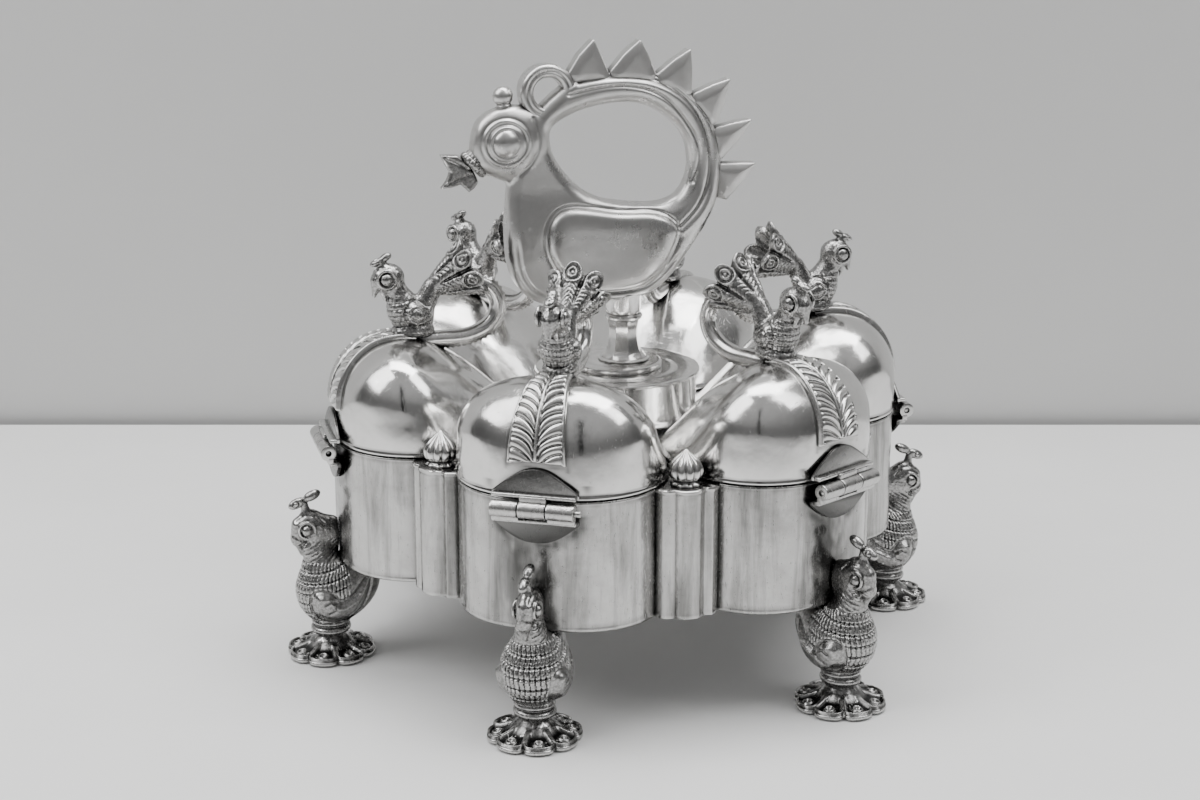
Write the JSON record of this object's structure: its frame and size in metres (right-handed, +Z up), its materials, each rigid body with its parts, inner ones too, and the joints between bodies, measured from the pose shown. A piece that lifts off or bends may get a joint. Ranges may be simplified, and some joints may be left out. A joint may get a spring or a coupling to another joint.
{
  "type": "kumkum box",
  "caption": "Free-standing box of petal-shaped chambers on bird feet, each with a hinged domed lid, round a pedestal with a peacock carrying ring.",
  "frame": {"origin": "on the ground, on the vertical axis of the box", "axes": "+Z up, -X the way the peacock's beak points, chambers numbered anticlockwise from +X"},
  "size_m": [0.1706, 0.1514, 0.1513],
  "materials": {
    "polished_silver": "polished antique silver with tarnish in the corners",
    "oxidised_silver": "chased silver, oxidised dark in the recesses and bright on the high places",
    "hinge_silver": "worn silver with fine scratches",
    "hinge_steel_silver": "drawn silver wire"
  },
  "bodies": {
    "root": {"base_web": "polished_silver", "centre_drum": "polished_silver", "flange_disc": "polished_silver", "step_disc": "polished_silver", "pedestal_stem": "polished_silver", "corner_pillars": "polished_silver", "bud_finials": "polished_silver", "hinge_lower_leaves": "hinge_silver", "hinge_pins": "hinge_steel_silver", "peacock_body": "polished_silver", "peacock_wings": "polished_silver", "peacock_eyes": "polished_silver", "peacock_crest_curl": "polished_silver", "peacock_crest_knob": "polished_silver", "peacock_tail_spikes": "polished_silver", "beak_collar": "oxidised_silver", "beak_sprig": "oxidised_silver", "chamber_cup_1": "polished_silver", "leg_bird_1": "oxidised_silver", "flower_foot_1": "oxidised_silver", "chamber_cup_2": "polished_silver", "leg_bird_2": "oxidised_silver", "flower_foot_2": "oxidised_silver", "chamber_cup_3": "polished_silver", "leg_bird_3": "oxidised_silver", "flower_foot_3": "oxidised_silver", "chamber_cup_4": "polished_silver", "leg_bird_4": "oxidised_silver", "flower_foot_4": "oxidised_silver", "chamber_cup_5": "polished_silver", "leg_bird_5": "oxidised_silver", "flower_foot_5": "oxidised_silver", "chamber_cup_6": "polished_silver", "leg_bird_6": "oxidised_silver", "flower_foot_6": "oxidised_silver"},
    "lid_1": {"lid_dome_1": "polished_silver", "leaf_strap_1": "oxidised_silver", "lid_bird_1": "oxidised_silver", "hinge_upper_leaf_1": "hinge_silver"},
    "lid_2": {"lid_dome_2": "polished_silver", "leaf_strap_2": "oxidised_silver", "lid_bird_2": "oxidised_silver", "hinge_upper_leaf_2": "hinge_silver"},
    "lid_3": {"lid_dome_3": "polished_silver", "leaf_strap_3": "oxidised_silver", "lid_bird_3": "oxidised_silver", "hinge_upper_leaf_3": "hinge_silver"},
    "lid_4": {"lid_dome_4": "polished_silver", "leaf_strap_4": "oxidised_silver", "lid_bird_4": "oxidised_silver", "hinge_upper_leaf_4": "hinge_silver"},
    "lid_5": {"lid_dome_5": "polished_silver", "leaf_strap_5": "oxidised_silver", "lid_bird_5": "oxidised_silver", "hinge_upper_leaf_5": "hinge_silver"},
    "lid_6": {"lid_dome_6": "polished_silver", "leaf_strap_6": "oxidised_silver", "lid_bird_6": "oxidised_silver", "hinge_upper_leaf_6": "hinge_silver"}
  },
  "joints": [
    {"name": "lid_1_hinge", "type": "hinge", "parent": "root", "child": "lid_1", "pos_m": [0.075, 0, 0.0548], "axis": [0, 1, 0], "range_deg": [0, 155]},
    {"name": "lid_2_hinge", "type": "hinge", "parent": "root", "child": "lid_2", "pos_m": [0.0375, 0.06495, 0.0548], "axis": [-0.866, 0.5, 0], "range_deg": [0, 155]},
    {"name": "lid_3_hinge", "type": "hinge", "parent": "root", "child": "lid_3", "pos_m": [-0.0375, 0.06495, 0.0548], "axis": [-0.866, -0.5, 0], "range_deg": [0, 155]},
    {"name": "lid_4_hinge", "type": "hinge", "parent": "root", "child": "lid_4", "pos_m": [-0.075, 0, 0.0548], "axis": [0, -1, 0], "range_deg": [0, 155]},
    {"name": "lid_5_hinge", "type": "hinge", "parent": "root", "child": "lid_5", "pos_m": [-0.0375, -0.06495, 0.0548], "axis": [0.866, -0.5, 0], "range_deg": [0, 155]},
    {"name": "lid_6_hinge", "type": "hinge", "parent": "root", "child": "lid_6", "pos_m": [0.0375, -0.06495, 0.0548], "axis": [0.866, 0.5, 0], "range_deg": [0, 155]}
  ]
}
